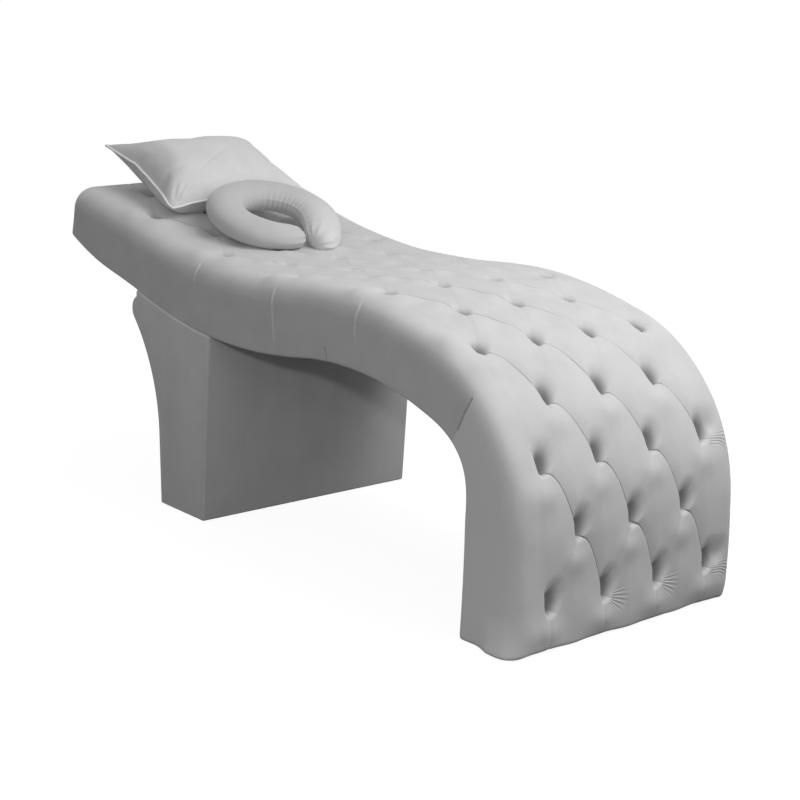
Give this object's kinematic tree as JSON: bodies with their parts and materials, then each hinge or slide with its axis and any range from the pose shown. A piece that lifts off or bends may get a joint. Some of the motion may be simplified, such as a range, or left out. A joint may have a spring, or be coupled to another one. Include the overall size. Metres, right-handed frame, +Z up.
{
  "type": "facial bed",
  "caption": "S-curved button-tufted velvet facial bed on a curved foot leg and a flared pedestal, with a loose pillow and a U-shaped neck pillow.",
  "frame": {"origin": "on the floor, under the middle of the bed's length and width", "axes": "+X towards the foot end, +Y to the right of someone lying face up, +Z up"},
  "size_m": [1.8162, 0.626, 0.8914],
  "materials": {
    "velvet": "silver-grey short-pile velvet",
    "piping": "light grey corded piping",
    "foam": "cream upholstery foam",
    "plywood": "raw plywood",
    "pine": "raw planed pine",
    "fibreboard": "brown hardboard",
    "steel": "zinc-plated steel",
    "plastic": "black plastic"
  },
  "bodies": {
    "bed": {"base_bolt_foot_left": "steel", "base_bolt_foot_right": "steel", "base_bolt_head_left": "steel", "base_bolt_head_right": "steel", "base_bottom_board": "plywood", "base_cover": "velvet", "base_foot_side_board": "plywood", "base_glide_foot_left": "plastic", "base_glide_foot_right": "plastic", "base_glide_head_left": "plastic", "base_glide_head_right": "plastic", "base_head_side_board": "plywood", "base_post_foot_left": "pine", "base_post_foot_right": "pine", "base_post_head_left": "pine", "base_post_head_right": "pine", "base_side_left": "plywood", "base_side_right": "plywood", "base_top_board": "plywood", "cross_rail_01": "pine", "cross_rail_02": "pine", "cross_rail_03": "pine", "cross_rail_04": "pine", "cross_rail_05": "pine", "cross_rail_06": "pine", "cross_rail_07": "pine", "cross_rail_08": "pine", "cross_rail_09": "pine", "cross_rail_10": "pine", "cross_rail_11": "pine", "cross_rail_12": "pine", "cross_rail_13": "pine", "foot_board": "plywood", "foot_glide_left": "plastic", "foot_glide_right": "plastic", "head_board": "plywood", "head_cover": "velvet", "head_foam": "foam", "mount_rail_foot": "pine", "mount_rail_head": "pine", "rib_left": "plywood", "rib_right": "plywood", "side_foam_left": "foam", "side_foam_right": "foam", "top_deck": "plywood", "top_foam": "foam", "tufted_cover": "velvet", "underside_cover": "velvet", "underside_panel": "fibreboard"},
    "pillow": {"pillow": "velvet", "pillow_piping": "piping"},
    "neck_pillow": {"neck_pillow": "velvet"}
  },
  "joints": [
    {"name": "pillow_lift", "type": "slide", "parent": "bed", "child": "pillow", "axis": [0, 0, 1], "range_m": [0, 0.3]},
    {"name": "neck_pillow_lift", "type": "slide", "parent": "pillow", "child": "neck_pillow", "axis": [0, 0, 1], "range_m": [0, 0.3]}
  ]
}
